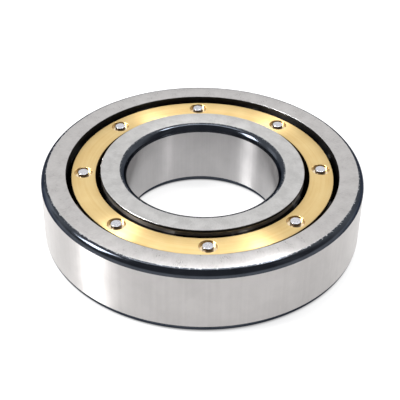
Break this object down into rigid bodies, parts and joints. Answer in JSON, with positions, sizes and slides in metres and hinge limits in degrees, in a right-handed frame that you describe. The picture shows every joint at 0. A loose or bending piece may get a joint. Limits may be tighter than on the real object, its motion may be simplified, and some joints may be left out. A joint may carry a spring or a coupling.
{
  "type": "deep groove ball bearing",
  "caption": "Open single-row deep groove ball bearing: grooved inner and outer steel rings, steel balls and a two-piece machined brass cage closed by rivets, with black-oxide corners.",
  "frame": {"origin": "the bearing's centre: on its axis, in its middle plane", "axes": "+Z along the bearing's axis, out of the face seen in the picture; +X and +Y across it, with the first rivet 3 degrees from +X towards +Y"},
  "size_m": [0.19, 0.19, 0.043],
  "materials": {
    "ring_steel": "ground bearing steel on the faces, the outside cylinder and the bore, black oxide on the rounded corners, polished raceways",
    "cage_brass": "turned brass with fine circular tool marks",
    "rivet_steel": "bright steel with lightly hammered flat heads",
    "ball_steel": "lapped, mirror-bright bearing steel"
  },
  "bodies": {
    "outer_ring": {"outer_ring": "ring_steel"},
    "inner_ring": {"inner_ring": "ring_steel"},
    "cage": {"cage_upper_half": "cage_brass", "cage_lower_half": "cage_brass", "rivet_1": "rivet_steel", "rivet_2": "rivet_steel", "rivet_3": "rivet_steel", "rivet_4": "rivet_steel", "rivet_5": "rivet_steel", "rivet_6": "rivet_steel", "rivet_7": "rivet_steel", "rivet_8": "rivet_steel"},
    "ball_1": {"ball_1": "ball_steel"},
    "ball_2": {"ball_2": "ball_steel"},
    "ball_3": {"ball_3": "ball_steel"},
    "ball_4": {"ball_4": "ball_steel"},
    "ball_5": {"ball_5": "ball_steel"},
    "ball_6": {"ball_6": "ball_steel"},
    "ball_7": {"ball_7": "ball_steel"},
    "ball_8": {"ball_8": "ball_steel"}
  },
  "joints": [
    {"name": "inner_ring_spin", "type": "hinge", "parent": "outer_ring", "child": "inner_ring", "pos_m": [0, 0, 0], "axis": [0, 0, 1], "continuous": true},
    {"name": "cage_spin", "type": "hinge", "parent": "outer_ring", "child": "cage", "pos_m": [0, 0, 0], "axis": [0, 0, 1], "continuous": true},
    {"name": "ball_1_spin", "type": "hinge", "parent": "cage", "child": "ball_1", "pos_m": [0.06336, 0.03022, 0], "axis": [0, 0, 1], "continuous": true},
    {"name": "ball_2_spin", "type": "hinge", "parent": "cage", "child": "ball_2", "pos_m": [0.02343, 0.06617, 0], "axis": [0, 0, 1], "continuous": true},
    {"name": "ball_3_spin", "type": "hinge", "parent": "cage", "child": "ball_3", "pos_m": [-0.03022, 0.06336, 0], "axis": [0, 0, 1], "continuous": true},
    {"name": "ball_4_spin", "type": "hinge", "parent": "cage", "child": "ball_4", "pos_m": [-0.06617, 0.02343, 0], "axis": [0, 0, 1], "continuous": true},
    {"name": "ball_5_spin", "type": "hinge", "parent": "cage", "child": "ball_5", "pos_m": [-0.06336, -0.03022, 0], "axis": [0, 0, 1], "continuous": true},
    {"name": "ball_6_spin", "type": "hinge", "parent": "cage", "child": "ball_6", "pos_m": [-0.02343, -0.06617, 0], "axis": [0, 0, 1], "continuous": true},
    {"name": "ball_7_spin", "type": "hinge", "parent": "cage", "child": "ball_7", "pos_m": [0.03022, -0.06336, 0], "axis": [0, 0, 1], "continuous": true},
    {"name": "ball_8_spin", "type": "hinge", "parent": "cage", "child": "ball_8", "pos_m": [0.06617, -0.02343, 0], "axis": [0, 0, 1], "continuous": true}
  ],
  "couplings": [
    {"joint": "cage_spin", "follows": "inner_ring_spin", "ratio": 0.38127},
    {"joint": "ball_1_spin", "follows": "inner_ring_spin", "ratio": -1.987},
    {"joint": "ball_2_spin", "follows": "inner_ring_spin", "ratio": -1.987},
    {"joint": "ball_3_spin", "follows": "inner_ring_spin", "ratio": -1.987},
    {"joint": "ball_4_spin", "follows": "inner_ring_spin", "ratio": -1.987},
    {"joint": "ball_5_spin", "follows": "inner_ring_spin", "ratio": -1.987},
    {"joint": "ball_6_spin", "follows": "inner_ring_spin", "ratio": -1.987},
    {"joint": "ball_7_spin", "follows": "inner_ring_spin", "ratio": -1.987},
    {"joint": "ball_8_spin", "follows": "inner_ring_spin", "ratio": -1.987}
  ]
}
